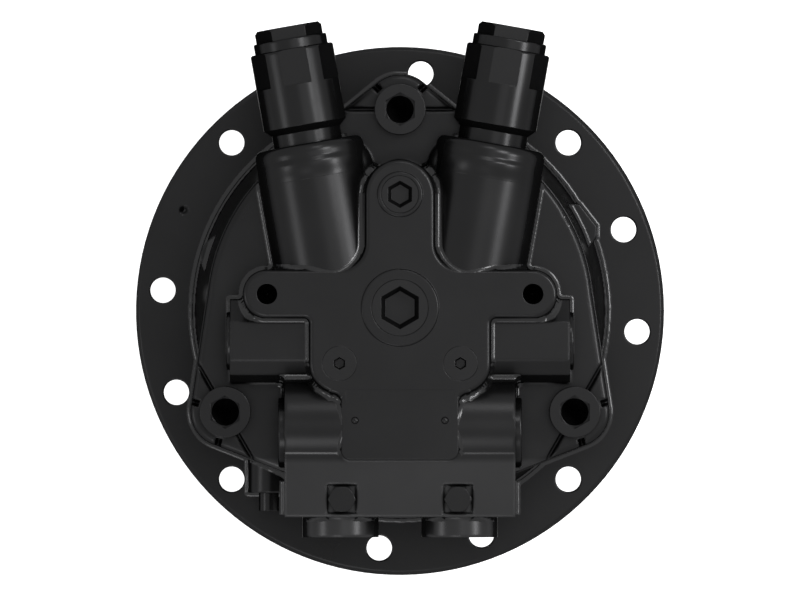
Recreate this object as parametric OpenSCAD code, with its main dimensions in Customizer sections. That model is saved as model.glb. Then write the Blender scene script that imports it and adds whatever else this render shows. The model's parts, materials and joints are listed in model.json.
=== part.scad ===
// Flange mounted axial piston motor with a spring applied disc brake, two relief valves and a splined shaft.
// Origin at the centre of the mounting face. +Z runs up to the valve cover, and the shaft points down.
// The nine pistons stand on a fixed inclined plate, so a turn of the shaft strokes each one once.

/* [Mounting flange] */
// Outer diameter of the flange
flange_d = 313; // [304:1:330]
// Thickness of the flange
flange_t = 18; // [14:0.5:22]
// Diameter of the twelve flange holes
flange_hole_d = 15; // [11:0.5:17]
// Distance of the flange holes from the edge of the flange
flange_hole_inset = 15.5; // [12:0.5:16]
// Chamfer round the top edge of the flange
flange_chamfer = 2; // [0.5:0.5:4]
// Diameter of the pilot that centres the motor
pilot_d = 230; // [200:1:240]
// Height of the pilot below the mounting face
pilot_h = 10; // [9:0.5:14]

/* [Casing] */
// Height of the joint between the casing and the cover above the mounting face
joint_z = 146; // [144:1:156]
// Width of the flange outside the casing wall
flange_ledge_w = 33.5; // [30:0.5:35]
// Height of the thin seat at the foot of the casing wall
foot_h = 2; // [1:0.5:4]
// Width of that seat
foot_w = 1.5; // [1:0.1:3]
// Thickness of the bolting rim at the top of the casing
rim_t = 18; // [14:1:24]
// How far the casing rim stands out past the cover
rim_lip = 0.8; // [0:0.1:1.5]
// Diameter of the cavity round the inclined plate
cavity_d = 160; // [150:1:164]
// Diameter of the drain boss at the lower left
drain_boss_d = 24.4; // [20:0.2:28]
// Distance of the drain boss from the centre line
drain_x = 77.5; // [72:0.5:82]
// Reach of the drain boss from the shaft axis
drain_boss_reach = 107.3; // [102:0.1:112]
// Diameter of the round boss on the left of the casing
side_boss_d = 31; // [26:0.5:34]
// Height of the side bosses above the flange
side_boss_h = 52; // [40:1:60]

/* [Cover plate] */
// Diameter of the round part of the cover plate
cover_d = 226; // [222:1:230]
// Thickness of the cover plate
cover_t = 28; // [24:0.5:32]
// How far the ear centres lie outside the round part of the cover
ear_out = 5.3; // [4:0.1:8]
// Radius of the three ears
ear_r = 20.5; // [19:0.5:22]
// Rounding of the top edge of the cover plate
cover_round = 3; // [1:0.5:4]
// Width of the shallow groove across each ear
ear_groove_w = 3; // [2:0.5:4]
// Depth of that groove
ear_groove_depth = 3; // [1:0.5:4]
// Width of the notches in the rim of each ear
ear_notch_w = 4; // [2:0.5:5]

/* [Cross shaped pad] */
// Height of the pad top above the joint
pad_h = 80; // [78:0.5:84]
// Radius of the top lobe, and half the width of its neck
lobe_r = 20.3; // [18:0.1:22]
// Distance of the top lobe from the shaft axis
lobe_y = 68.3; // [64:0.1:72]
// Radius of the arm ends, and half the width of the arms
arm_r = 14.1; // [12:0.1:15]
// Distance of the lifting holes from the centre line
arm_x = 77.8; // [76:0.1:82]
// Distance of the arm centre line from the shaft axis
arm_y = 10; // [9:0.1:11]
// Fillet between the neck and the arms
neck_fillet = 16; // [10:0.5:18]
// Half width of the trunk
trunk_half_w = 53; // [51:0.1:55]
// Radius of the two lower round corners of the trunk
trunk_corner_r = 17.6; // [15:0.1:19]
// Distance of those corners below the shaft axis
trunk_corner_y = 30.6; // [28:0.1:33]
// Half width of the lower tab
tab_half_w = 34.2; // [31:0.1:36]
// Reach of the lower tab below the shaft axis
tab_reach = 87; // [84:0.5:89]
// Rounding of the top edge of the pad
pad_round = 2.5; // [1:0.5:3.5]
// Core diameter of the two tapped lifting holes
lifting_hole_d = 12; // [10:0.5:14]
// Depth of the lifting holes
lifting_hole_depth = 26; // [18:1:30]

/* [Relief valves] */
// Height of the valve and port axes above the joint
valve_h = 47; // [46.5:0.5:48]
// Distance of the valve neck from the centre line
relief_x = 53.75; // [52:0.25:56]
// Distance of the valve neck from the shaft axis
relief_y = 97.8; // [96:0.2:100]
// Outward lean of each valve axis
relief_lean = 10; // [8:0.5:12]
// Radius of the cast housing of each relief valve
housing_r = 32.5; // [30.5:0.5:33]
// Radius of the valve barrel
barrel_r = 24.5; // [23.5:0.25:25.5]
// Radius of the valve neck
neck_r = 20.2; // [18.5:0.1:21]
// Distance from the neck point to the top of the barrel
barrel_top = 56.6; // [50:0.2:60]
// Width across the six flats of the barrel
barrel_flats = 46; // [44:0.5:46.5]
// Length of those flats
barrel_flat_len = 21; // [14:0.5:26]
// Radius of the collar under the cap hexagon
collar_r = 21.6; // [20:0.1:22.5]
// Height of that collar
collar_h = 6.1; // [4:0.1:8]
// Width across the flats of the cap hexagon
cap_flats = 34.2; // [30:0.1:37]
// Height of the cap hexagon
cap_h = 7.3; // [5:0.1:12]
// Diameter of the bore that the relief poppet slides in
relief_bore_d = 20; // [18:0.5:22]
// Lift of the relief poppet
relief_lift = 3; // [1:0.5:4]

/* [Check valves] */
// Reach of each check valve housing from the centre line
check_reach = 99.6; // [97:0.1:101]
// Distance of the check valve axis below the shaft axis
check_y = 17.5; // [17:0.1:18.5]
// Height of the flat on top of the check valve housing above the valve axis
check_top_h = 20; // [19:0.5:22]
// Radius of the check valve end plug
check_plug_r = 17; // [15:0.1:17.5]
// Diameter of the bore that the check poppet slides in
check_bore_d = 20; // [18:0.5:22]
// Lift of the check poppet
check_lift = 4; // [1:0.5:5]

/* [Port block] */
// Half width of the port block
block_half_w = 67.5; // [66:0.1:70]
// Reach of the port block below the shaft axis
port_block_reach = 120.5; // [118:0.1:123]
// Distance of the cross gallery below the shaft axis
gallery_y = 71.3; // [69:0.1:73]
// Radius of the gallery end plugs
gallery_plug_r = 20.5; // [18:0.1:22]
// How far the gallery end plugs stand out
gallery_plug_out = 3.8; // [2:0.1:6]
// Distance of each port from the centre line
port_x = 34.9; // [33.5:0.1:36]
// Radius of the port collars
port_collar_r = 22.4; // [21:0.1:23.5]
// Length of the port collars
port_collar_len = 11.9; // [8:0.1:14]
// Core diameter of the tapped port holes
port_thread_d = 30.3; // [26:0.1:33]
// Depth of the tapped port holes
port_thread_depth = 24; // [18:1:30]
// Distance of the gauge plugs below the shaft axis
gauge_y = 110; // [109:0.1:111]
// Distance of the gauge plugs from the centre line
gauge_x = 34; // [32:0.1:36]
// Width across the flats of the gauge plugs
gauge_flats = 14.5; // [13:0.1:14.5]
// Side of the square pocket round each gauge plug
gauge_pocket = 17; // [16.8:0.1:18]

/* [Rotating group] */
// Angle of the inclined plate
swash_angle = 14; // [10:0.5:15]
// Radius of the circle of pistons
piston_circle_r = 43; // [42.5:0.1:44]
// Number of pistons, each with its own named sub-part
piston_n = 9; // [9:1:9]
// Diameter of the pistons
piston_d = 23; // [21:0.1:24]
// Diameter of the ball on each piston
ball_d = 17; // [16:0.1:17.4]
// Outer diameter of the cylinder block at its spline tips
block_d = 121; // [119:0.5:123]
// Thickness of the closed end of the cylinder block
block_end_t = 10; // [8:0.5:12]
// Thickness of the valve plate
valve_plate_t = 5; // [4:0.5:7]
// Diameter of the valve plate
valve_plate_d = 104; // [100:1:112]
// Mid height of the inclined plate
swash_mid_h = 18; // [17:0.5:19]
// Diameter of the inclined plate
swash_d = 124; // [120:1:128]
// Diameter of the hole through the inclined plate
swash_hole_d = 56; // [54:0.5:57]
// Diameter of the flange of each slipper shoe
shoe_d = 27.6; // [26.4:0.1:28]
// Thickness of that flange
shoe_t = 4; // [3:0.1:4.3]
// Outer diameter of the socket of each shoe
shoe_neck_d = 22.8; // [22:0.1:23]
// Height of the ball centre above the inclined face
ball_h = 13; // [13:0.1:14]
// Thickness of the retainer plate
retainer_t = 5; // [3:0.5:6]
// Radius of the ball that centres the retainer plate
thrust_ball_r = 24; // [23.5:0.1:24.5]

/* [Brake] */
// Number of friction plates
friction_n = 3; // [2:1:3]
// Thickness of each brake plate
plate_t = 3; // [2:0.5:3]
// Outer radius of the separator plates
separator_r = 88.7; // [87:0.1:89.5]
// Outer radius of the friction plates
friction_r = 86; // [82:0.5:86.5]
// Height of the ledge that carries the plates, above the mounting face
ledge_z = 88; // [86:0.5:89]
// Outer radius of the brake piston head
brake_piston_r = 95.8; // [94:0.1:97]
// Height of the brake piston head
brake_head_h = 17; // [15:0.5:18]
// Stroke that releases the brake
brake_stroke = 2.5; // [1:0.1:3]
// Number of brake springs
brake_spring_n = 12; // [8:1:16]
// Radius of the circle of brake springs
brake_spring_circle_r = 77.5; // [76:0.5:79]

/* [Shaft and bearings] */
// Diameter of the shaft in the seal and in the front bearing
journal_d = 45; // [43:0.5:47]
// Length of the output spline
spline_len = 53; // [40:1:60]
// Reach of the shaft below the mounting face
shaft_reach = 75; // [68:1:85]
// Tip diameter of the output spline
spline_d = 43; // [40:0.5:44]
// Number of teeth on the output spline
spline_n = 18; // [12:1:24]
// Tip diameter of the spline inside the cylinder block
inner_spline_d = 37.8; // [36:0.2:38.4]
// Outer diameter of the front bearing
front_bearing_d = 100; // [96:1:104]
// Width of the front bearing
front_bearing_w = 25; // [23:0.5:27]
// Height of the front bearing above the mounting face
front_bearing_z = 8; // [7:0.5:9]
// Bore of the rear bearing
rear_bore_d = 25; // [23:0.5:26]
// Outer diameter of the rear bearing
rear_bearing_d = 52; // [50:1:54]
// Width of the rear bearing
rear_bearing_w = 15; // [14:0.5:17]
// Outer diameter of the oil seal
seal_d = 72; // [68:1:76]
// Thickness of the oil seal
seal_t = 10; // [8:0.5:10.5]

/* [Fasteners and plugs] */
// Diameter of the cover screws
screw_d = 20; // [18:0.5:20]
// Head diameter of the cover screws
screw_head_d = 30; // [28:0.5:31]
// Head height of the cover screws
screw_head_h = 20; // [14:0.5:22]
// Width across flats of the socket in the cover screws
screw_socket = 17; // [14:0.5:17.5]
// Depth of that socket
screw_socket_depth = 16; // [10:0.5:17]
// Length of the cover screws below the head
screw_len = 65; // [55:1:75]
// Diameter of the large plug in the middle of the pad
centre_plug_d = 33.2; // [30:0.2:34]
// Diameter of the raised ring round that plug
centre_ring_d = 45.6; // [42:0.2:48]
// Width across the flats of its socket
centre_socket = 17; // [14:0.5:18]
// Distance of the large plug from the shaft axis
centre_plug_y = 2; // [0:0.5:4]
// Diameter of the plug in the top lobe
lobe_plug_d = 22; // [20:0.2:24]
// Diameter of the two small plugs in the trunk
trunk_plug_d = 20; // [18:0.2:22]
// Depth of the plug threads
plug_depth = 14; // [10:0.5:16]

/* [Clearances] */
// Running clearance between pistons and bores, and between other sliding fits
slide_gap = 0.05; // [0.02:0.01:0.08]
// Clearance between parts that stay still against each other
fit_gap = 0.1; // [0.05:0.01:0.15]
// Clearance of the splines
spline_gap = 0.15; // [0.1:0.01:0.2]
// Free clearance round the shoes in the retainer plate
retainer_gap = 0.3; // [0.2:0.05:0.4]

/* [Hidden] */
$fn = 96;
ear_turns = [90, 210, 330];
hole_turns = [45, 20, -5];
hole_squares = [0, 90, 180, 270];
sides = [-1, 1];
dimple_turn = 155;
// Straight edges run this far inside the circles that they touch, so that the outline is one piece
tuck = 0.05;
// Length by which the shapes of one piece run into each other
weld = 0.5;

casting_colour = [0.13, 0.13, 0.14];
cover_colour = [0.16, 0.16, 0.17];
valve_colour = [0.10, 0.10, 0.11];
steel_colour = [0.62, 0.63, 0.65];
bronze_colour = [0.70, 0.52, 0.30];
rubber_colour = [0.08, 0.08, 0.08];
friction_colour = [0.45, 0.36, 0.28];

flange_r = flange_d / 2;
flange_hole_circle_r = flange_r - flange_hole_inset;
foot_r = flange_r - flange_ledge_w;
pilot_r = pilot_d / 2;
cover_r = cover_d / 2;
ear_circle_r = cover_r + ear_out;
cover_top = joint_z + cover_t;
pad_top = joint_z + pad_h;
valve_z = joint_z + valve_h;
floor_z = front_bearing_z + front_bearing_w;
swash_seat_depth = 3;
cavity_z = floor_z + swash_seat_depth;
swash_z = floor_z + swash_mid_h;
ball_plane_z = swash_z + ball_h / cos(swash_angle);
half_stroke = piston_circle_r * tan(swash_angle);
ball_r = ball_d / 2;
piston_r = piston_d / 2;
shoe_neck_r = shoe_neck_d / 2;
shoe_r = shoe_d / 2;
socket_rim_h = 3;
thrust_below = 12;
thrust_above = 9;
thrust_sleeve_r = thrust_ball_r - 2.5;

// The ball centres run round an ellipse in the inclined plane, which the long radius stretches
orbit_long_r = piston_circle_r / cos(swash_angle);
orbit_mid_r = (orbit_long_r + piston_circle_r) / 2;
orbit_play = (orbit_long_r - piston_circle_r) / 2;

block_bottom_gap = 11;
block_bottom = ball_plane_z + half_stroke + block_bottom_gap;
block_top = joint_z - valve_plate_t - slide_gap;
bore_end = block_top - block_end_t;
piston_end_gap = 1;
piston_len = bore_end - piston_end_gap - ball_plane_z - half_stroke;
block_r = block_d / 2;
block_tooth_h = 2.5;
block_tooth_n = 30;
kidney_circle_r = piston_circle_r - 5;
kidney_w = 7;
spring_chamber_r = 26;
spring_chamber_top = block_bottom + 32;
inner_spline_r = inner_spline_d / 2;
inner_spline_n = 20;
inner_tooth_h = 1.8;
shaft_r = inner_spline_r - 0.2;
block_spring_bottom = block_bottom + 6;

plate_pitch = plate_t + fit_gap;
separator_n = friction_n + 1;
pack_top = ledge_z + (friction_n + separator_n) * plate_pitch;
plate_bore_r = separator_r + fit_gap;
brake_bore_r = brake_piston_r + 0.2;
brake_skirt_r = separator_r - 0.2;
brake_inner_r = block_r + 3.5;
brake_head_z = pack_top + 13;
brake_step_z = brake_head_z - 2.5;
brake_piston_top = brake_head_z + brake_head_h;
brake_pocket_r = 6.5;
brake_pocket_z = pack_top + 7;
tab_corner_r = 5.3;
tab_round = 0.6;
trunk_fillet = 3;
tab_fillet = 6;
lug_out = 3.5;
ear_post_r = ear_r - 0.5;
ear_post_h = 16;
ear_groove_len = 4 * ear_r;
ear_cone_h = 24;
lug_w = 12;

journal_r = journal_d / 2;
seal_r = seal_d / 2;
seal_top = front_bearing_z - 4;
seal_bottom = seal_top - seal_t;
snap_ring_t = 1.8;
rear_bore_r = rear_bore_d / 2;
rear_bearing_r = rear_bearing_d / 2;
shaft_top = joint_z + rear_bearing_w + 3;
shaft_cavity_top = joint_z + rear_bearing_w + 7;
collar_top = floor_z + 6;
race_t = 7.5;
swash_pin_x = (swash_d + front_bearing_d) / 4;
swash_pin_r = (swash_d - front_bearing_d) / 8;
swash_pin_h = 12;
rear_race_t = 4.5;

seal_groove_r = cover_r - 9;
seal_groove_w = 3.4;
seal_groove_depth = 2.9;

relief_nose_r = 14;
relief_nose_end = -60;
relief_step = -24;
neck_len = 7.7;
neck_chamfer = 3.9;
housing_len = relief_y - arm_y;
housing_top = -10.4;
crease_r = 1.5;
neck_round = 4;
web_x = 33.5;
web_y = 84;
web_r = 17.7;
web_h = valve_h - cover_t + 15;
web_round = 10;
relief_seat = -50;
relief_poppet_len = 27;
relief_stem = 44;
check_seat_x = 56;
check_half_w = 24.3;
check_flat_half_w = 11.1;
check_plug_len = 16;
check_poppet_len = 14;
port_passage_r = 11;
port_end_y = -15;
port_floor_z = joint_z + 18;
crown_y = 68;
crown_r = 29.7;
crown_z = pad_top - 0.1 - crown_r;
port_deck_z = crown_z + crown_r * 0.862;
deck_fall = 2.3;
gauge_depth = 4;
ledge_out = 3.1;
gauge_floor_z = port_deck_z - deck_fall * 0.75 - gauge_depth;
rivet_x = 26.3;
rivet_y = 63.9;
rivet_r = 2.2;
gallery_z = cover_top + gallery_plug_r + 1.5;
gauge_head_h = 7;
gauge_stem_r = 5;
gauge_stem_h = 6.5;
centre_plug_depth = plug_depth + 4;
ring_round = 1;
ring_h = 1.2;
drain_z = 60;
drain_fitting_r = 5.9;
drain_fitting_len = 10.7;
drain_thread_r = 5;
drain_thread_len = 20;
drain_way_r = 3;
side_boss_x = foot_r - 21;
side_boss_y = 31;
angled_boss_x = foot_r - 19;
angled_boss_y = 47;
angled_plug_y = angled_boss_y - 5;
angled_plug_d = 14;
angled_plug_depth = 16;

// Outline of a toothed ring: straight flanks between a root radius and a tip radius
function teeth(count, root_r, tip_r) = [
    for (i = [0:count - 1], k = [0:3])
        let (share = [-0.34, -0.18, 0.18, 0.34][k], r = k == 0 || k == 3 ? root_r : tip_r)
        let (turn = (i + share) * 360 / count)
        [r * cos(turn), r * sin(turn)]
];

// Tangent point of the line from the cover circle to an ear, on a circle of radius r whose centre is at distance d
function tangent_point(r, d, turn, side) =
    let (swing = acos((cover_r - ear_r) / ear_circle_r), a = turn + side * swing)
    [d * cos(turn) + r * cos(a), d * sin(turn) + r * sin(a)];

// Quarter of a disc, in the quarter X > 0, Y > 0
module sector(r) {
    intersection() {
        circle(r);
        square(r);
    }
}

// Disc with a rounded top edge
module puck(r, h, e) {
    rotate_extrude() {
        square([r - e, h]);
        square([r, h - e]);
        translate([r - e, h - e]) sector(e);
    }
}

// Bar along X from x0 to x1 and from y0 to y1, with its two long top edges rounded
module bar(x0, x1, y0, y1, h, e) {
    translate([x0, 0, 0]) rotate([90, 0, 90]) linear_extrude(x1 - x0) {
        translate([y0 + e, 0]) square([y1 - y0 - 2 * e, h]);
        translate([y0, 0]) square([y1 - y0, h - e]);
        translate([y0 + e, h - e]) mirror([1, 0]) sector(e);
        translate([y1 - e, h - e]) sector(e);
    }
}

// The same bar along Y
module bar_y(x0, x1, y0, y1, h, e) {
    translate([0, 0, 0]) rotate([0, 0, 90]) mirror([0, 1, 0]) bar(y0, y1, x0, x1, h, e);
}

// Fillet in an inner corner at the origin, filling the quarter X > 0, Y > 0, with the same rounded top edge
module inner_corner(fillet, h, e) {
    difference() {
        translate([-e, -e, 0]) cube([fillet + e, fillet + e, h]);
        translate([fillet, fillet, -1]) rotate_extrude() {
            square([fillet, h + 2]);
            translate([0, h + 1 - e]) difference() {
                square([fillet + e, e + 1]);
                translate([fillet + e, 0]) circle(e);
            }
        }
    }
}

// Corner that reaches from the shaft axis round one ear, with its sides on the tangents
module ear_web(turn, grow) {
    polygon([
        [0, 0],
        tangent_point(cover_r + grow, 0, turn, 1),
        tangent_point(ear_r + grow, ear_circle_r, turn, 1),
        tangent_point(ear_r + grow, ear_circle_r, turn, -1),
        tangent_point(cover_r + grow, 0, turn, -1)
    ]);
}

// Outline that the cover and the casing rim share: a circle and three ears joined by their tangents
module cover_outline(grow) {
    circle(cover_r + grow);
    for (turn = ear_turns) {
        translate([ear_circle_r * cos(turn), ear_circle_r * sin(turn)]) circle(ear_r + grow);
        ear_web(turn, grow - tuck);
    }
}

// The cover plate with its rounded top edge, built from rounded discs and rounded bars on the tangents
module cover_slab() {
    swing = acos((cover_r - ear_r) / ear_circle_r);
    run = sqrt(ear_circle_r * ear_circle_r - (cover_r - ear_r) * (cover_r - ear_r));
    puck(cover_r, cover_t, cover_round);
    for (turn = ear_turns) {
        translate([ear_circle_r * cos(turn), ear_circle_r * sin(turn), 0]) puck(ear_r, cover_t, cover_round);
        linear_extrude(cover_t) ear_web(turn, -cover_round - 2 * tuck);
        for (side = sides) rotate([0, 0, turn + side * swing]) mirror([0, side > 0 ? 1 : 0, 0])
            bar_y(cover_r - 2 * cover_round - 2, cover_r - tuck, 0, run, cover_t - tuck, cover_round);
    }
}

// Placement at each ear, with local X pointing outward
module at_ears() {
    for (turn = ear_turns) rotate([0, 0, turn]) translate([ear_circle_r, 0, 0]) children();
}

// Placement on a relief valve axis, with local Z along the valve and the origin at its neck
module on_relief(side) {
    translate([side * relief_x, relief_y, valve_z])
        rotate([0, 0, -side * relief_lean]) rotate([-90, 0, 0]) children();
}

// Placement on a check valve axis, with local Z pointing outward from the centre line
module on_check(side) {
    mirror([side < 0 ? 1 : 0, 0, 0]) translate([0, -check_y, valve_z]) rotate([0, 90, 0]) children();
}

// Placement at the ball centre plane of the inclined plate
module on_swash() {
    translate([0, 0, ball_plane_z]) rotate([0, -swash_angle, 0]) children();
}

module hex(flats, h) {
    cylinder(d = flats / cos(30), h = h, $fn = 6);
}

// Hexagon head whose corners are cut by a shallow cone that ends at radius top_r
module chamfered_hex(flats, h, top_r) {
    cut_h = flats * 0.07;
    intersection() {
        hex(flats, h);
        union() {
            cylinder(r = flats, h = h - cut_h);
            translate([0, 0, h - cut_h]) cylinder(r1 = flats * 0.59, r2 = top_r, h = cut_h);
        }
    }
}

// Cone that a drill leaves below the floor of a hole; its floor is at the origin
module drill_point(r, share) {
    translate([0, 0, -r * share]) cylinder(r1 = 0.1, r2 = r, h = r * share + tuck);
}

// Outline of a slot of width w that is straight down to depth_a and comes to a point at depth_b
module pointed_slot(w, depth_a, depth_b) {
    polygon([[-w / 2, 1], [-w / 2, -depth_a], [0, -depth_b], [w / 2, -depth_a], [w / 2, 1]]);
}

// Threaded plug with a six sided socket that widens to its mouth: its top is at the origin and it reaches down
module socket_plug(d, depth, socket, mouth, socket_depth) {
    difference() {
        translate([0, 0, -depth]) cylinder(d = d, h = depth);
        translate([0, 0, -socket_depth]) rotate([0, 0, 30])
            cylinder(d1 = socket / cos(30), d2 = mouth / cos(30), h = socket_depth + tuck, $fn = 6);
    }
}

// Coil of round wire from 0 to h, with a point ring every 360 / steps degrees
module coil(mean_r, wire_r, turns, h, steps, wire_sides) {
    rings = round(turns * steps);
    rise = (h - 2 * wire_r) / rings;
    ring_points = [
        for (i = [0:rings], j = [0:wire_sides - 1])
            let (a = i * 360 / steps, b = j * 360 / wire_sides, r = mean_r + wire_r * cos(b))
            [r * cos(a), r * sin(a), wire_r + i * rise + wire_r * sin(b)]
    ];
    walls = [
        for (i = [0:rings - 1], j = [0:wire_sides - 1])
            let (k = (j + 1) % wire_sides, p = i * wire_sides, q = p + wire_sides)
            each [[p + j, p + k, q + k], [p + j, q + k, q + j]]
    ];
    first_cap = [for (j = [wire_sides - 1:-1:0]) j];
    last_cap = [for (j = [0:wire_sides - 1]) rings * wire_sides + j];
    polyhedron(points = ring_points, faces = concat(walls, [first_cap], [last_cap]), convexity = 8);
}

// Screw holes, drain port and inner bores of the casing
module casing_bores() {
    translate([0, 0, -pilot_h - 1]) cylinder(r = seal_r + fit_gap, h = pilot_h + 1 + seal_top);
    translate([0, 0, seal_bottom - snap_ring_t - fit_gap]) cylinder(r = seal_r + 2, h = snap_ring_t + fit_gap);
    cylinder(r = journal_r + 8, h = floor_z);
    translate([0, 0, front_bearing_z]) cylinder(d = front_bearing_d + fit_gap, h = floor_z);
    translate([0, 0, floor_z]) cylinder(d = swash_d + fit_gap, h = swash_seat_depth + 1);
    translate([0, 0, cavity_z]) cylinder(d = cavity_d, h = joint_z);
    translate([0, 0, ledge_z]) cylinder(r = plate_bore_r, h = joint_z);
    translate([0, 0, ledge_z]) linear_extrude(joint_z) for (turn = hole_squares)
        rotate(turn) translate([0, -lug_w / 2 - fit_gap]) square([separator_r + lug_out + fit_gap, lug_w + 2 * fit_gap]);
    translate([0, 0, brake_step_z]) cylinder(r = brake_bore_r, h = joint_z);
}

module casing() {
    screw_hole_depth = screw_len - cover_t + 8;
    color(casting_colour) difference() {
        union() {
            translate([0, 0, -pilot_h]) rotate_extrude()
                polygon([[0, 0], [pilot_r - 1.5, 0], [pilot_r, 1.5], [pilot_r, pilot_h + 1], [0, pilot_h + 1]]);
            rotate_extrude() polygon([
                [0, 0], [flange_r - 1, 0], [flange_r, 1], [flange_r, flange_t - flange_chamfer],
                [flange_r - flange_chamfer, flange_t], [0, flange_t]
            ]);
            translate([0, 0, flange_t - weld]) puck(foot_r, foot_h + weld, foot_w / 2);
            translate([0, 0, flange_t])
                cylinder(r1 = foot_r - foot_w, r2 = cover_r, h = joint_z - rim_t - flange_t + weld);
            translate([0, 0, joint_z - rim_t]) linear_extrude(rim_t) cover_outline(rim_lip);
            at_ears() translate([0, 0, joint_z - rim_t - ear_post_h]) cylinder(r = ear_post_r, h = ear_post_h + weld);
            at_ears() translate([0, 0, joint_z - rim_t - ear_post_h - ear_cone_h])
                cylinder(r1 = ear_post_r - 9, r2 = ear_post_r, h = ear_cone_h);
            translate([-side_boss_x, side_boss_y, flange_t]) cylinder(d = side_boss_d, h = side_boss_h);
            translate([angled_boss_x, angled_boss_y, flange_t]) linear_extrude(side_boss_h)
                polygon([[-24, 16], [2, 16], [12, 3], [12, -3], [5, -13], [-24, -13]]);
            translate([-drain_x, 0, drain_z]) rotate([90, 0, 0]) cylinder(d = drain_boss_d, h = drain_boss_reach);
        }
        casing_bores();
        for (turn = hole_turns, square_turn = hole_squares) rotate([0, 0, turn + square_turn])
            translate([flange_hole_circle_r, 0, -1]) cylinder(d = flange_hole_d, h = flange_t + 2);
        rotate([0, 0, dimple_turn]) translate([flange_hole_circle_r, 0, flange_t - 2])
            cylinder(r1 = 0.5, r2 = 3, h = 2.1);
        at_ears() translate([0, 0, joint_z - screw_hole_depth])
            cylinder(d = screw_d + fit_gap, h = screw_hole_depth + 1);
        translate([0, 0, joint_z - seal_groove_depth]) rotate_extrude()
            translate([seal_groove_r - seal_groove_w / 2, 0]) square([seal_groove_w, seal_groove_depth + 1]);
        translate([-drain_x, drain_thread_len - drain_boss_reach, drain_z]) rotate([90, 0, 0])
            cylinder(r = drain_thread_r + fit_gap, h = drain_thread_len + 1);
        translate([-drain_x, 0, drain_z]) rotate([90, 0, 0]) cylinder(r = drain_way_r, h = drain_boss_reach);
        translate([angled_boss_x, angled_plug_y, flange_t + side_boss_h - angled_plug_depth - 2])
            cylinder(d = angled_plug_d + 2 * fit_gap, h = angled_plug_depth + 3);
        swash_pin_holes();
    }
}

module cross_pad() {
    h = pad_h - cover_t;
    e = pad_round;
    translate([0, lobe_y, 0]) puck(lobe_r, h, e);
    bar_y(-lobe_r, lobe_r, -trunk_corner_y, lobe_y, h, e);
    bar(-arm_x, arm_x, arm_y - arm_r, arm_y + arm_r, h, e);
    bar_y(-trunk_half_w, trunk_half_w, -trunk_corner_y, arm_y, h, e);
    trunk_corner_x = trunk_half_w - trunk_corner_r;
    bar(-trunk_corner_x, trunk_corner_x, -trunk_corner_y - trunk_corner_r, arm_y, h, e);
    bar_y(-tab_half_w, tab_half_w, -tab_reach + tab_corner_r, -trunk_corner_y, h - tuck, tab_round);
    bar(-tab_half_w + tab_corner_r, tab_half_w - tab_corner_r, -tab_reach, -trunk_corner_y, h - tuck, tab_round);
    for (side = sides) {
        translate([side * arm_x, arm_y, 0]) puck(arm_r, h, e);
        translate([side * trunk_corner_x, -trunk_corner_y, 0]) puck(trunk_corner_r, h, e);
        translate([side * (tab_half_w - tab_corner_r), -tab_reach + tab_corner_r, 0])
            puck(tab_corner_r, h - tuck, tab_round);
        translate([side * lobe_r, arm_y + arm_r, 0]) mirror([side < 0 ? 1 : 0, 0, 0]) inner_corner(neck_fillet, h, e);
        translate([side * trunk_half_w, arm_y - arm_r, 0]) mirror([side < 0 ? 1 : 0, 0, 0]) mirror([0, 1, 0])
            inner_corner(trunk_fillet, h, e);
        translate([side * tab_half_w, -trunk_corner_y - trunk_corner_r, 0]) mirror([side < 0 ? 1 : 0, 0, 0])
            mirror([0, 1, 0]) inner_corner(tab_fillet, h, e);
    }
}

// Cast housing of one relief valve, with its shoulder, down to the cover plate
module relief_housing(side) {
    shoulder_r = housing_r - crease_r;
    crease = housing_len + housing_top - crease_r;
    on_relief(side) translate([0, 0, -housing_len]) rotate_extrude() {
        square([housing_r, crease]);
        square([shoulder_r, housing_len - neck_round]);
        translate([shoulder_r, crease]) circle(crease_r);
        square([shoulder_r - neck_round, housing_len]);
        translate([shoulder_r - neck_round, housing_len - neck_round]) circle(neck_round);
    }
    translate([side * relief_x, relief_y, cover_top - weld]) rotate([0, 0, -side * relief_lean])
        translate([tuck - housing_r, -housing_len, 0])
            cube([2 * (housing_r - tuck), crease - tuck, valve_z - cover_top + weld]);
}

// Cast housing of one check valve: a flat topped ridge
module check_housing(side) {
    to_plate = valve_h - cover_t + weld;
    half = check_half_w;
    on_check(side) linear_extrude(check_reach) polygon([
        [to_plate, -half], [to_plate, half], [16 - check_top_h, half], [-check_top_h, check_flat_half_w],
        [-check_top_h, -check_flat_half_w], [5 - check_top_h, -half + 4.8], [14 - check_top_h, -half]
    ]);
}

// Block that carries the two ports and the cross gallery, which lies under a round crown
module port_block() {
    half = block_half_w;
    rear_y = crown_r - crown_y;
    translate([-half, 0, 0]) rotate([90, 0, 90]) linear_extrude(2 * half) {
        polygon([
            [rear_y + 1, cover_top - weld], [rear_y - tuck, crown_z], [-crown_y - crown_r / 4, crown_z + crown_r * 0.965],
            [-crown_y - crown_r / 2, port_deck_z], [-port_block_reach, port_deck_z - deck_fall],
            [-port_block_reach, port_floor_z], [-cover_r * 0.77, port_floor_z], [-cover_r * 0.77, cover_top - weld]
        ]);
        translate([-crown_y, crown_z]) circle(crown_r);
    }
    translate([-half - ledge_out, -port_block_reach + 1, port_floor_z]) cube([2 * (half + ledge_out), 20, 12]);
    for (side = sides) translate([side * port_x, -port_block_reach + 1, valve_z]) rotate([90, 0, 0])
        cylinder(r = port_collar_r, h = port_collar_len + 1);
}

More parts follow.
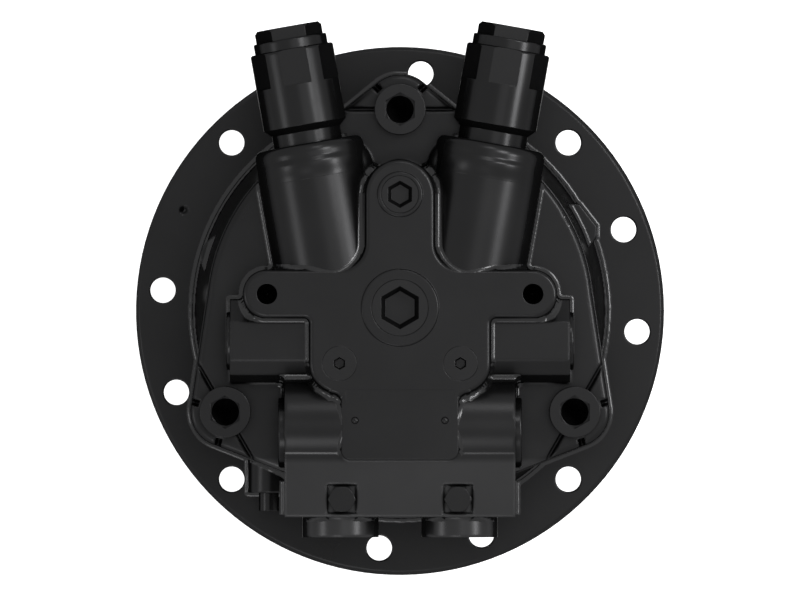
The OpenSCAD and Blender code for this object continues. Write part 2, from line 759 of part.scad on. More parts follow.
// Oil ways and bores that run through the cover
module cover_bores() {
    for (side = sides) {
        translate([side * port_x, -port_block_reach - port_collar_len - 1, valve_z]) rotate([-90, 0, 0])
            cylinder(d = port_thread_d, h = port_thread_depth + 1);
        translate([side * port_x, -port_block_reach - 1, valve_z]) rotate([-90, 0, 0])
            cylinder(r = port_passage_r, h = port_block_reach + 1 + port_end_y);
        translate([side * port_x, port_end_y, joint_z - 1]) cylinder(r = 8, h = valve_h + 1);
        on_relief(side) {
            translate([0, 0, relief_nose_end - 55]) cylinder(r = 6, h = 60);
            translate([0, 0, relief_nose_end]) cylinder(r = relief_nose_r + fit_gap, h = 61);
            translate([0, 0, relief_step]) cylinder(r = neck_r + fit_gap, h = 30);
            translate([0, 0, neck_len - 1]) cylinder(r = barrel_r + 0.4, h = barrel_top);
        }
        on_check(side) {
            translate([0, 0, port_x]) cylinder(r = 6.5, h = 40);
            translate([0, 0, check_seat_x]) cylinder(d = check_bore_d + slide_gap * 2, h = 60);
            translate([0, 0, check_reach - check_plug_len]) cylinder(r = check_plug_r + fit_gap, h = 30);
        }
        translate([side * block_half_w, -gallery_y, gallery_z]) rotate([0, -side * 90, 0]) translate([0, 0, -1])
            cylinder(r = gallery_plug_r + fit_gap, h = 15);
        translate([side * gauge_x - gauge_pocket / 2, -gauge_y - gauge_pocket / 2, gauge_floor_z])
            cube([gauge_pocket, gauge_pocket, pad_top]);
        translate([side * gauge_x, -gauge_y, gauge_floor_z - gauge_stem_h - fit_gap])
            cylinder(r = gauge_stem_r + fit_gap, h = gauge_stem_h + 1);
        translate([side * arm_x, arm_y, pad_top - lifting_hole_depth])
            cylinder(d = lifting_hole_d, h = lifting_hole_depth + 1);
        translate([side * arm_x, arm_y, pad_top - lifting_hole_depth]) drill_point(lifting_hole_d / 2 - tuck, 0.8);
        translate([side * (trunk_half_w - trunk_corner_r), -trunk_corner_y, pad_top - plug_depth])
            cylinder(d = trunk_plug_d + 2 * fit_gap, h = plug_depth + 1);
    }
    translate([0, lobe_y, pad_top - plug_depth]) cylinder(d = lobe_plug_d + 2 * fit_gap, h = plug_depth + 3);
    translate([0, centre_plug_y, pad_top - centre_plug_depth])
        cylinder(d = centre_plug_d + 2 * fit_gap, h = centre_plug_depth + 4);
    translate([0, 0, joint_z - 1]) cylinder(r = rear_bearing_r + fit_gap, h = rear_bearing_w + 1);
    translate([0, 0, joint_z - 1]) cylinder(r = rear_bearing_r - 6, h = shaft_cavity_top - joint_z + 1);
    at_ears() {
        translate([0, 0, joint_z - 1]) cylinder(d = screw_d + 1.5, h = cover_t + 2);
        translate([0, ear_groove_len / 2, cover_top]) rotate([90, 0, 0]) linear_extrude(ear_groove_len)
            pointed_slot(ear_groove_w, 0, ear_groove_depth);
        for (turn = [-47, 47]) rotate([0, 0, turn]) translate([screw_head_d / 2 + 1, 0, cover_top]) rotate([90, 0, 90])
            linear_extrude(10) pointed_slot(ear_notch_w, 9, 15);
    }
    for (side = sides) translate([side * rivet_x, -rivet_y, pad_top - 6 - fit_gap])
        cylinder(r = rivet_r * 0.6 + fit_gap, h = 7);
    valve_plate_pins(fit_gap);
    cover_kidneys();
}

module cover_kidneys() {
    translate([0, 0, joint_z - 1]) for (side = sides) rotate([0, 0, side > 0 ? -60 : 120])
        rotate_extrude(angle = 120) translate([kidney_circle_r - kidney_w / 2, 0]) square([kidney_w, 11]);
}

module valve_cover() {
    color(cover_colour) difference() {
        union() {
            translate([0, 0, joint_z]) cover_slab();
            translate([0, 0, cover_top]) cross_pad();
            for (side = sides) {
                relief_housing(side);
                check_housing(side);
            }
            for (side = sides) translate([side * web_x, web_y, cover_top - weld]) puck(web_r, web_h, web_round);
            port_block();
            translate([0, centre_plug_y, pad_top - ring_round]) puck(centre_ring_d / 2, ring_h + ring_round, ring_round);
            translate([0, lobe_y, pad_top - ring_round]) puck(lobe_plug_d / 2 + 2.4, ring_h + ring_round, ring_round);
        }
        cover_bores();
        translate([0, 0, joint_z - 60]) cylinder(r = ear_circle_r * 2, h = 60);
    }
}

module cover_seal() {
    color(rubber_colour) translate([0, 0, joint_z - seal_groove_depth / 2]) rotate_extrude()
        translate([seal_groove_r, 0]) circle(seal_groove_depth / 2 - slide_gap);
}

module cover_screws() {
    color(valve_colour) at_ears() difference() {
        union() {
            translate([0, 0, cover_top]) puck(screw_head_d / 2, screw_head_h, 0.4);
            translate([0, 0, cover_top - screw_len]) cylinder(d = screw_d, h = screw_len + 1);
        }
        translate([0, 0, cover_top + screw_head_h - screw_socket_depth]) {
            hex(screw_socket, screw_socket_depth + 1);
            drill_point(screw_socket / 2 - 0.3, 0.8);
        }
    }
}

module swash_pin_holes() {
    for (turn = [90, 270]) rotate([0, 0, turn]) translate([swash_pin_x, 0, floor_z - swash_pin_h / 2])
        cylinder(r = swash_pin_r + fit_gap, h = swash_pin_h);
}

module swash_plate() {
    color(steel_colour) difference() {
        translate([0, 0, floor_z]) cylinder(d = swash_d, h = 2 * swash_mid_h);
        translate([0, 0, swash_z]) rotate([0, -swash_angle, 0])
            translate([-swash_d, -swash_d, 0]) cube([2 * swash_d, 2 * swash_d, 2 * swash_mid_h]);
        translate([0, 0, floor_z - 1]) cylinder(d = swash_hole_d, h = 3 * swash_mid_h);
        swash_pin_holes();
    }
}

module valve_plate_pins(gap) {
    for (turn = [80, 270]) rotate([0, 0, turn]) translate([valve_plate_d / 2 - 5, 0, joint_z - valve_plate_t + 1])
        cylinder(r = 2.5 + gap, h = valve_plate_t + 5);
}

module valve_plate() {
    color(bronze_colour) difference() {
        translate([0, 0, joint_z - valve_plate_t]) cylinder(d = valve_plate_d, h = valve_plate_t);
        translate([0, 0, joint_z - valve_plate_t - 1]) cylinder(r = rear_bearing_r - 4, h = valve_plate_t + 2);
        for (side = sides) rotate([0, 0, side > 0 ? -68 : 112]) translate([0, 0, joint_z - valve_plate_t - 1]) {
            rotate_extrude(angle = 136) translate([kidney_circle_r - kidney_w / 2, 0])
                square([kidney_w, valve_plate_t + 2]);
            for (turn = [0, 136]) rotate([0, 0, turn]) translate([kidney_circle_r, 0, 0])
                cylinder(d = kidney_w - 2 * tuck, h = valve_plate_t + 2);
        }
        valve_plate_pins(fit_gap);
    }
}

module locating_pins() {
    color(steel_colour) {
        valve_plate_pins(0);
        for (turn = [90, 270]) rotate([0, 0, turn]) translate([swash_pin_x, 0, floor_z - swash_pin_h / 2 + fit_gap])
            cylinder(r = swash_pin_r, h = swash_pin_h - 2 * fit_gap);
    }
}

module front_bearing_outer() {
    color(steel_colour) translate([0, 0, front_bearing_z]) rotate_extrude() difference() {
        translate([front_bearing_d / 2 - race_t, 0]) square([race_t, front_bearing_w]);
        translate([front_bearing_d / 2, 0]) circle(1, $fn = 4);
    }
}

module front_bearing_inner() {
    color(steel_colour) translate([0, 0, front_bearing_z]) rotate_extrude()
        translate([journal_r + slide_gap, 0]) square([race_t - slide_gap, front_bearing_w]);
}

front_track_r = (front_bearing_d / 2 + journal_r) / 2;
front_roller_r = (front_bearing_d / 2 - journal_r) / 2 - race_t - slide_gap;
front_roller_n = 13;

module front_bearing_rollers() {
    color(steel_colour) translate([0, 0, front_bearing_z + 1]) {
        for (i = [0:front_roller_n - 1]) rotate([0, 0, i * 360 / front_roller_n])
            translate([front_track_r, 0, 3]) cylinder(r = front_roller_r, h = front_bearing_w - 8);
        difference() {
            cylinder(r = front_track_r + 2.2, h = front_bearing_w - 2);
            translate([0, 0, -1]) cylinder(r = front_track_r - 2.2, h = front_bearing_w);
            for (i = [0:front_roller_n - 1]) rotate([0, 0, i * 360 / front_roller_n])
                translate([front_track_r, 0, 3 - fit_gap])
                    cylinder(r = front_roller_r + fit_gap, h = front_bearing_w - 8 + 2 * fit_gap);
        }
    }
}

rear_track_r = (rear_bearing_r + rear_bore_r) / 2;
rear_ball_r = (rear_bearing_r - rear_bore_r) / 2 - rear_race_t + 1.6;
rear_ball_n = 9;
rear_bearing_z = joint_z;

module rear_ring(from_r, to_r) {
    translate([0, 0, rear_bearing_z]) rotate_extrude() difference() {
        translate([from_r, 0]) square([to_r - from_r, rear_bearing_w]);
        translate([rear_track_r, rear_bearing_w / 2]) circle(rear_ball_r + slide_gap);
    }
}

module rear_bearing_outer() {
    color(steel_colour) rear_ring(rear_bearing_r - rear_race_t, rear_bearing_r);
}

module rear_bearing_inner() {
    color(steel_colour) rear_ring(rear_bore_r + slide_gap, rear_bore_r + rear_race_t);
}

module rear_bearing_balls() {
    color(steel_colour) translate([0, 0, rear_bearing_z + rear_bearing_w / 2]) {
        for (i = [0:rear_ball_n - 1]) rotate([0, 0, i * 360 / rear_ball_n])
            translate([rear_track_r, 0, 0]) sphere(rear_ball_r);
        difference() {
            translate([0, 0, -rear_ball_r - 1.5]) cylinder(r = rear_track_r + 1, h = 2 * rear_ball_r + 3);
            translate([0, 0, -rear_ball_r - 2]) cylinder(r = rear_track_r - 1, h = 2 * rear_ball_r + 4);
            for (i = [0:rear_ball_n - 1]) rotate([0, 90, i * 360 / rear_ball_n])
                translate([0, 0, rear_track_r - 4]) cylinder(r = rear_ball_r + fit_gap, h = 8);
        }
    }
}

module oil_seal() {
    lip_r = journal_r + slide_gap;
    color(rubber_colour) translate([0, 0, seal_bottom]) rotate_extrude() polygon([
        [seal_r, 0], [seal_r, seal_t], [seal_r - 2, seal_t], [seal_r - 2, 2], [lip_r + 4, 2],
        [lip_r + 4, seal_t - 2], [lip_r, seal_t - 4], [lip_r + 1.5, 3], [lip_r + 1.5, 0]
    ]);
}

module seal_snap_ring() {
    color(steel_colour) translate([0, 0, seal_bottom - snap_ring_t]) linear_extrude(snap_ring_t) difference() {
        circle(seal_r + 2 - fit_gap);
        circle(seal_r - 3);
        translate([0, -5]) square([seal_r + 5, 10]);
    }
}

module separator_plates() {
    color(steel_colour) for (i = [0:separator_n - 1]) translate([0, 0, ledge_z + 2 * i * plate_pitch])
        linear_extrude(plate_t) difference() {
            union() {
                circle(separator_r);
                for (turn = hole_squares) rotate(turn) translate([0, -lug_w / 2])
                    square([separator_r + lug_out - fit_gap, lug_w]);
            }
            circle(block_r + 4);
        }
}

module friction_plates() {
    color(friction_colour) for (i = [0:friction_n - 1]) translate([0, 0, ledge_z + (2 * i + 1) * plate_pitch])
        linear_extrude(plate_t) difference() {
            circle(friction_r);
            polygon(teeth(block_tooth_n, block_r - block_tooth_h + spline_gap, block_r + spline_gap));
        }
}

module brake_piston() {
    color(casting_colour) difference() {
        union() {
            translate([0, 0, pack_top]) cylinder(r = brake_skirt_r, h = brake_head_z - pack_top + 1);
            translate([0, 0, brake_head_z]) cylinder(r = brake_piston_r, h = brake_head_h);
        }
        translate([0, 0, pack_top - 1]) cylinder(r = brake_inner_r, h = brake_piston_top);
        for (i = [0:brake_spring_n - 1]) rotate([0, 0, i * 360 / brake_spring_n])
            translate([brake_spring_circle_r, 0, brake_pocket_z])
                cylinder(r = brake_pocket_r, h = brake_piston_top);
        brake_seal_groove(brake_piston_r, brake_head_z + 6);
        brake_seal_groove(brake_skirt_r, pack_top + 3);
    }
}

module brake_seal_groove(r, z) {
    translate([0, 0, z]) rotate_extrude() translate([r - 3, 0]) square([4, 3.4]);
}

module brake_piston_seals() {
    color(rubber_colour) {
        translate([0, 0, brake_head_z + 6.2]) rotate_extrude()
            translate([brake_piston_r - 2.9, 0]) square([2.9 + 0.1, 3]);
        translate([0, 0, pack_top + 3.2]) rotate_extrude()
            translate([brake_skirt_r - 2.9, 0]) square([2.9 + 0.1, 3]);
    }
}

module brake_springs() {
    color(steel_colour) for (i = [0:brake_spring_n - 1]) rotate([0, 0, i * 360 / brake_spring_n])
        translate([brake_spring_circle_r, 0, brake_pocket_z])
            coil(brake_pocket_r - 2, 1.2, 4, joint_z - brake_pocket_z, 8, 4);
}

module drive_shaft() {
    color(steel_colour) {
        difference() {
            translate([0, 0, -shaft_reach]) intersection() {
                linear_extrude(spline_len) polygon(teeth(spline_n, spline_d / 2 - 2.2, spline_d / 2));
                union() {
                    cylinder(r1 = spline_d / 2 - 3, r2 = spline_d / 2 + 0.1, h = 3.1);
                    translate([0, 0, 3]) cylinder(r = spline_d, h = spline_len);
                }
            }
            translate([0, 0, -shaft_reach - 1]) cylinder(d = 10.2, h = 26);
        }
        translate([0, 0, -shaft_reach + spline_len - weld])
            cylinder(r = journal_r, h = floor_z + shaft_reach - spline_len + 2 * weld);
        translate([0, 0, floor_z]) cylinder(r = journal_r + 3, h = collar_top - floor_z);
        translate([0, 0, collar_top - weld]) cylinder(r = shaft_r, h = spring_chamber_top - collar_top + weld);
        translate([0, 0, spring_chamber_top - weld]) linear_extrude(block_top - spring_chamber_top + weld)
            polygon(teeth(inner_spline_n, inner_spline_r - inner_tooth_h, inner_spline_r));
        translate([0, 0, block_top - weld]) cylinder(r = rear_bore_r, h = shaft_top - block_top + weld);
        translate([0, 0, block_top - weld]) cylinder(r = rear_bore_r + 3, h = joint_z - block_top + weld);
    }
}

// Nine bores, the oil slot of each, the spline and the spring chamber
module cylinder_block() {
    color(steel_colour) difference() {
        translate([0, 0, block_bottom]) linear_extrude(block_top - block_bottom)
            polygon(teeth(block_tooth_n, block_r - block_tooth_h, block_r));
        for (i = [0:piston_n - 1]) rotate([0, 0, i * 360 / piston_n]) {
            translate([piston_circle_r, 0, block_bottom - 1]) cylinder(r = piston_r, h = bore_end - block_bottom + 1);
            translate([0, 0, bore_end - 1]) rotate([0, 0, -11]) {
                rotate_extrude(angle = 22) translate([kidney_circle_r - kidney_w / 2, 0])
                    square([kidney_w, block_end_t + 2]);
                for (turn = [0, 22]) rotate([0, 0, turn]) translate([kidney_circle_r, 0, 0])
                    cylinder(d = kidney_w - 2 * tuck, h = block_end_t + 2);
            }
        }
        translate([0, 0, block_bottom - 1]) cylinder(r = spring_chamber_r, h = spring_chamber_top - block_bottom + 1);
        translate([0, 0, block_bottom]) linear_extrude(block_top) polygon(
            teeth(inner_spline_n, inner_spline_r - inner_tooth_h + spline_gap, inner_spline_r + spline_gap));
    }
}

module thrust_ball() {
    color(bronze_colour) difference() {
        union() {
            intersection() {
                translate([0, 0, ball_plane_z]) sphere(thrust_ball_r);
                translate([0, 0, ball_plane_z - thrust_below])
                    cylinder(r = thrust_ball_r + 1, h = thrust_below + thrust_above);
            }
            translate([0, 0, ball_plane_z + thrust_above - weld])
                cylinder(r = thrust_sleeve_r, h = block_spring_bottom - ball_plane_z - thrust_above + weld);
        }
        translate([0, 0, floor_z]) cylinder(r = shaft_r + fit_gap, h = joint_z);
    }
}

module block_spring() {
    wire_r = 2;
    color(steel_colour) translate([0, 0, block_spring_bottom])
        coil(shaft_r + 1.5 + wire_r, wire_r, 5, spring_chamber_top - block_spring_bottom, 16, 6);
}

module retainer_plate() {
    color(steel_colour) on_swash() difference() {
        translate([0, 0, -ball_h + shoe_t + slide_gap]) cylinder(r = orbit_mid_r + shoe_neck_r + 4.5, h = retainer_t);
        sphere(thrust_ball_r + slide_gap);
        for (i = [0:piston_n - 1]) rotate([0, 0, i * 360 / piston_n]) translate([orbit_mid_r, 0, -ball_h])
            cylinder(r = shoe_neck_r + orbit_play + retainer_gap, h = 2 * ball_h);
    }
}

// Piston number i, standing at its own height: the body, the neck and the ball
module piston(i) {
    turn = (i - 1) * 360 / piston_n;
    color(steel_colour) translate([
        piston_circle_r * cos(turn), piston_circle_r * sin(turn), ball_plane_z + half_stroke * cos(turn)
    ]) difference() {
        union() {
            sphere(ball_r);
            cylinder(r = ball_r - 2.7, h = 14);
            translate([0, 0, ball_r + 1.5]) cylinder(r1 = ball_r - 2.7, r2 = piston_r - slide_gap, h = 5);
            translate([0, 0, ball_r + 6.5]) rotate_extrude() difference() {
                square([piston_r - slide_gap, piston_len - ball_r - 6.5]);
                for (k = [1:3]) translate([piston_r - slide_gap - 0.4, piston_len - ball_r - 6.5 - 5 * k])
                    square([1, 0.8]);
            }
        }
        translate([0, 0, -ball_r - 1]) cylinder(r = 1.25, h = piston_len);
        translate([0, 0, piston_len - 24]) cylinder(r = piston_r - 4.5, h = 25);
    }
}

// Slipper shoe under piston number i, square to the inclined face
module shoe(i) {
    turn = (i - 1) * 360 / piston_n;
    color(bronze_colour) translate([
        piston_circle_r * cos(turn), piston_circle_r * sin(turn), ball_plane_z + half_stroke * cos(turn)
    ]) rotate([0, -swash_angle, 0]) difference() {
        union() {
            translate([0, 0, -ball_h + slide_gap]) cylinder(r = shoe_r, h = shoe_t - slide_gap);
            translate([0, 0, -ball_h + slide_gap]) cylinder(r = shoe_neck_r, h = ball_h + socket_rim_h - slide_gap);
        }
        sphere(ball_r + slide_gap);
        translate([0, 0, -ball_h - 1]) cylinder(r = 7.5, h = 1.8);
        translate([0, 0, -ball_h]) cylinder(r = 1, h = ball_h);
    }
}

module relief_valve_bodies() {
    color(valve_colour) for (side = sides) on_relief(side) difference() {
        union() {
            translate([0, 0, relief_nose_end + fit_gap]) cylinder(r = relief_nose_r, h = -relief_nose_end);
            translate([0, 0, relief_step + fit_gap]) cylinder(r = neck_r, h = 8 - relief_step);
            translate([0, 0, neck_len]) cylinder(r1 = neck_r, r2 = barrel_r, h = neck_chamfer);
            translate([0, 0, neck_len + neck_chamfer])
                cylinder(r = barrel_r, h = barrel_top - barrel_flat_len - neck_len - neck_chamfer);
            intersection() {
                translate([0, 0, barrel_top - barrel_flat_len]) hex(barrel_flats, barrel_flat_len);
                translate([0, 0, barrel_top - barrel_flat_len]) puck(barrel_r, barrel_flat_len, 1.5);
            }
        }
        translate([0, 0, relief_seat]) cylinder(d = relief_bore_d, h = 200);
        translate([0, 0, relief_nose_end - 1]) cylinder(r = relief_bore_d / 2 - 4, h = 20);
    }
}

module relief_valve_caps() {
    color(valve_colour) for (side = sides) on_relief(side) {
        translate([0, 0, relief_stem]) cylinder(d = relief_bore_d - 2 * fit_gap, h = barrel_top - relief_stem + 1);
        translate([0, 0, barrel_top]) puck(collar_r, collar_h, 1);
        translate([0, 0, barrel_top + collar_h]) chamfered_hex(cap_flats, cap_h, cap_flats * 0.53);
    }
}

module relief_poppet(side) {
    nose = 5;
    color(steel_colour) on_relief(side) translate([0, 0, relief_seat + fit_gap]) difference() {
        union() {
            cylinder(r1 = relief_bore_d / 2 - 3, r2 = relief_bore_d / 2 - slide_gap, h = nose);
            translate([0, 0, nose]) cylinder(d = relief_bore_d - 2 * slide_gap, h = relief_poppet_len - nose);
        }
        translate([0, 0, nose + 4]) cylinder(r = relief_bore_d / 2 - 3, h = relief_poppet_len);
    }
}

module relief_springs() {
    wire_r = 1.3;
    start = relief_seat + fit_gap + 9;
    color(steel_colour) for (side = sides) on_relief(side) translate([0, 0, start])
        coil(relief_bore_d / 2 - 3.2 - wire_r, wire_r, 9, relief_stem - start, 10, 5);
}

module check_poppet(side) {
    nose = 4;
    color(steel_colour) on_check(side) translate([0, 0, check_seat_x + fit_gap]) difference() {
        union() {
            cylinder(r1 = check_bore_d / 2 - 3, r2 = check_bore_d / 2 - slide_gap, h = nose);
            translate([0, 0, nose]) cylinder(d = check_bore_d - 2 * slide_gap, h = check_poppet_len - nose);
        }
        translate([0, 0, nose + 2]) cylinder(r = check_bore_d / 2 - 3, h = check_poppet_len);
    }
}

module check_springs() {
    wire_r = 0.9;
    start = check_seat_x + fit_gap + 6;
    color(steel_colour) for (side = sides) on_check(side) translate([0, 0, start])
        coil(check_bore_d / 2 - 3.2 - wire_r, wire_r, 5, check_reach - check_plug_len - start, 10, 5);
}

module check_valve_plugs() {
    color(valve_colour) for (side = sides) on_check(side) difference() {
        translate([0, 0, check_reach - check_plug_len]) puck(check_plug_r, check_plug_len + 2.1, 1);
        translate([0, 0, check_reach - 6]) hex(12, 20);
    }
}

module gallery_plugs() {
    color(valve_colour) for (side = sides) translate([side * block_half_w, -gallery_y, gallery_z])
        rotate([0, side * 90, 0]) difference() {
            translate([0, 0, -14 + fit_gap]) puck(gallery_plug_r, 14 + gallery_plug_out - fit_gap, 1);
            translate([0, 0, gallery_plug_out - 8]) hex(14, 20);
        }
}

module centre_plug() {
    color(cover_colour) translate([0, centre_plug_y, pad_top + 0.6]) 
        socket_plug(centre_plug_d, centre_plug_depth, centre_socket, centre_socket + 5, 10);
}

module pad_plugs() {
    color(cover_colour) {
        translate([0, lobe_y, pad_top + 0.6]) socket_plug(lobe_plug_d, plug_depth, 10, 14, 7);
        for (side = sides) translate([side * (trunk_half_w - trunk_corner_r), -trunk_corner_y, pad_top])
            socket_plug(trunk_plug_d, plug_depth, 5, 6.5, 5);
    }
}

module gauge_plugs() {
    color(valve_colour) for (side = sides) translate([side * gauge_x, -gauge_y, gauge_floor_z]) {
        chamfered_hex(gauge_flats, gauge_head_h, gauge_flats * 0.5);
        translate([0, 0, -gauge_stem_h]) cylinder(r = gauge_stem_r, h = gauge_stem_h + weld);
    }
}

// Round headed drive rivets beside the bare place on the pad
module plate_rivets() {
    color(steel_colour) for (side = sides) translate([side * rivet_x, -rivet_y, pad_top]) {
        translate([0, 0, -6]) cylinder(r = rivet_r * 0.6, h = 6 + weld);
        intersection() {
            translate([0, 0, -rivet_r / 2]) sphere(rivet_r * 1.1);
            cylinder(r = rivet_r, h = rivet_r);
        }
    }
}

module drain_fitting() {
    color(valve_colour) translate([-drain_x, -drain_boss_reach, drain_z]) rotate([90, 0, 0]) difference() {
        union() {
            cylinder(r = drain_fitting_r, h = drain_fitting_len);
            translate([0, 0, -drain_thread_len]) cylinder(r = drain_thread_r, h = drain_thread_len + weld);
        }
        translate([0, 0, -drain_thread_len - 1]) cylinder(r = drain_way_r, h = drain_thread_len + drain_fitting_len + 2);
    }
}

module casing_port_plug() {
    color(valve_colour) translate([angled_boss_x, angled_plug_y, flange_t + side_boss_h])
        socket_plug(angled_plug_d, angled_plug_depth, 6, 7, 6);
}

casing();
valve_cover();
cover_seal();
cover_screws();
swash_plate();
valve_plate();
locating_pins();
front_bearing_outer();
rear_bearing_outer();
oil_seal();
seal_snap_ring();
separator_plates();
relief_valve_bodies();
relief_valve_caps();
relief_springs();
check_valve_plugs();
check_springs();
gallery_plugs();
centre_plug();
pad_plugs();
gauge_plugs();
plate_rivets();
drain_fitting();
casing_port_plug();
brake_springs();
drive_shaft();
cylinder_block();
friction_plates();
thrust_ball();
block_spring();
front_bearing_inner();
rear_bearing_inner();
front_bearing_rollers();
rear_bearing_balls();
retainer_plate();
brake_piston();
brake_piston_seals();
relief_poppet(-1);  // relief_poppet_left
relief_poppet(1);  // relief_poppet_right
check_poppet(-1);  // check_poppet_left
check_poppet(1);  // check_poppet_right
piston(1);  // piston_1
piston(2);  // piston_2
piston(3);  // piston_3
piston(4);  // piston_4
piston(5);  // piston_5
piston(6);  // piston_6
piston(7);  // piston_7
piston(8);  // piston_8
piston(9);  // piston_9
shoe(1);  // shoe_1
shoe(2);  // shoe_2
shoe(3);  // shoe_3
shoe(4);  // shoe_4
shoe(5);  // shoe_5
shoe(6);  // shoe_6
shoe(7);  // shoe_7
shoe(8);  // shoe_8
shoe(9);  // shoe_9
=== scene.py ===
"""Looks of the flange mounted piston motor: satin black castings, black oxide valves and bare steel inside."""
import json
import math

import bpy
import numpy as np
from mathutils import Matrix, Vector
from mathutils.bvhtree import BVHTree


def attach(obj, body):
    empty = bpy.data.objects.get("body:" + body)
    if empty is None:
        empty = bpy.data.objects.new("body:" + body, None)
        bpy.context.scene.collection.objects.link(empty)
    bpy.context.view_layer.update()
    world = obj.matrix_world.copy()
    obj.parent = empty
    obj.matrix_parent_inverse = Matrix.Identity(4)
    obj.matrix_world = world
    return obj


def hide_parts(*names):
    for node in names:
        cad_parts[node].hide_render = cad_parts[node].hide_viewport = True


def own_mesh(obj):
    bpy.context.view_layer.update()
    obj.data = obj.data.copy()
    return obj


MM = 0.001
PAD_TOP = 226.0  # height of the cross shaped pad
BASE = "housing"  # the body that the castings belong to

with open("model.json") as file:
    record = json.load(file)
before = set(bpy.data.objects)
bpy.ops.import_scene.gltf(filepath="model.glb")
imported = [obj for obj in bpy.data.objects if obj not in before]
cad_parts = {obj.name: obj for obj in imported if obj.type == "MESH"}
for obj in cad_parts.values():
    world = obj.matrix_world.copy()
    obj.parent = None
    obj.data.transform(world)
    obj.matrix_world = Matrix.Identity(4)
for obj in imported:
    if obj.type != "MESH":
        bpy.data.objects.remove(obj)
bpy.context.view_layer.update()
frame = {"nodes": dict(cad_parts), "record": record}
nodes = frame["nodes"]


def piece(name, points, faces, finish, smooth=False):
    """An object at the origin made from points in metres and faces, in one finish."""
    mesh = bpy.data.meshes.new(name)
    mesh.from_pydata(points, [], faces)
    if smooth:
        mesh.polygons.foreach_set("use_smooth", [True] * len(mesh.polygons))
    mesh.materials.append(finish)
    obj = bpy.data.objects.new(name, mesh)
    bpy.context.scene.collection.objects.link(obj)
    return obj


# Shared effects

MIX_A, MIX_B, MIX_RESULT = 6, 7, 2  # places of the colour sockets of a Mix node
TOP_BLEND = (PAD_TOP - 0.6, PAD_TOP - 0.4)  # heights between which the edge radius turns into the top radius
WEAR_STARTS, WEAR_FULL = 0.995, 0.8  # cosine between the bevelled and the plain normal


def socket(group, name, kind, way="INPUT", value=None):
    """Adds one named socket to a node group."""
    s = group.interface.new_socket(name, in_out=way, socket_type=kind)
    if value is not None:
        s.default_value = value


def node(tree, kind, **settings):
    """Adds a node; keyword names that match its sockets set them, and the rest are properties."""
    n = tree.nodes.new(kind)
    for key, value in settings.items():
        name = key.replace("_", " ")
        if name in n.inputs:
            n.inputs[name].default_value = value
        else:
            setattr(n, key, value)
    return n


def cast_group():
    """Sand cast skin: coarse ripple and fine grain added as a height, with a slow mottle of the paint."""
    g = bpy.data.node_groups.new("cast_skin", "ShaderNodeTree")
    socket(g, "Grain size", "NodeSocketFloat", value=900.0)
    socket(g, "Ripple", "NodeSocketFloat", value=0.35)
    socket(g, "Height", "NodeSocketFloat", "OUTPUT")
    socket(g, "Mottle", "NodeSocketFloat", "OUTPUT")
    start, end = node(g, "NodeGroupInput"), node(g, "NodeGroupOutput")
    where = node(g, "ShaderNodeTexCoord")
    fine = node(g, "ShaderNodeTexNoise", Detail=3.0, Roughness=0.6)
    coarse = node(g, "ShaderNodeTexNoise", Scale=120.0, Detail=2.0, Roughness=0.5)
    slow = node(g, "ShaderNodeTexNoise", Scale=14.0, Detail=3.0, Roughness=0.6)
    for n in (fine, coarse, slow):
        g.links.new(where.outputs["Object"], n.inputs["Vector"])
    g.links.new(start.outputs["Grain size"], fine.inputs["Scale"])
    add = node(g, "ShaderNodeMath", operation="MULTIPLY_ADD")
    g.links.new(coarse.outputs["Fac"], add.inputs[0])
    g.links.new(start.outputs["Ripple"], add.inputs[1])
    g.links.new(fine.outputs["Fac"], add.inputs[2])
    g.links.new(add.outputs[0], end.inputs["Height"])
    g.links.new(slow.outputs["Fac"], end.inputs["Mottle"])
    return g


def edge_group():
    """Rounded edges and the wear on them: a bevelled normal, with one radius below the pad's top and one
    on it, and how far that normal leans from the plain one."""
    g = bpy.data.node_groups.new("soft_edges", "ShaderNodeTree")
    socket(g, "Normal", "NodeSocketVector", "OUTPUT")
    socket(g, "Edge", "NodeSocketFloat", "OUTPUT")
    socket(g, "Radius", "NodeSocketFloat", value=0.001)
    socket(g, "Top radius", "NodeSocketFloat", value=0.001)
    start, end = node(g, "NodeGroupInput"), node(g, "NodeGroupOutput")
    soft = node(g, "ShaderNodeBevel", samples=8)
    where = node(g, "ShaderNodeTexCoord")
    split = node(g, "ShaderNodeSeparateXYZ")
    size = node(g, "ShaderNodeMapRange", From_Min=TOP_BLEND[0] * MM, From_Max=TOP_BLEND[1] * MM)
    g.links.new(where.outputs["Object"], split.inputs[0])
    g.links.new(split.outputs["Z"], size.inputs["Value"])
    g.links.new(start.outputs["Radius"], size.inputs["To Min"])
    g.links.new(start.outputs["Top radius"], size.inputs["To Max"])
    plain = node(g, "ShaderNodeNewGeometry")
    dot = node(g, "ShaderNodeVectorMath", operation="DOT_PRODUCT")
    lean = node(g, "ShaderNodeMapRange", From_Min=WEAR_STARTS, From_Max=WEAR_FULL)
    g.links.new(size.outputs["Result"], soft.inputs["Radius"])
    g.links.new(soft.outputs["Normal"], end.inputs["Normal"])
    g.links.new(soft.outputs["Normal"], dot.inputs[0])
    g.links.new(plain.outputs["Normal"], dot.inputs[1])
    g.links.new(dot.outputs["Value"], lean.inputs["Value"])
    g.links.new(lean.outputs["Result"], end.inputs["Edge"])
    return g


CAST, EDGES = cast_group(), edge_group()


def use(tree, group, **values):
    """Places a shared group in a material with its own values."""
    n = node(tree, "ShaderNodeGroup", node_tree=group)
    for key, value in values.items():
        n.inputs[key.replace("_", " ")].default_value = value
    return n


DARKER, LIGHTER, WORN = 0.82, 1.18, 1.5  # the mottle's two colours and the worn one, as shares of the colour
WEAR_SHARE = 0.35
SMOOTHER, ROUGHER = 0.03, 0.04
BUMP_STRENGTH = 0.6
DECK_FROM, DECK_TO = -0.089, -0.086  # the port block's front flat lies in front of this strip and is painted lighter there, a painted sheen where it catches the light; in metres
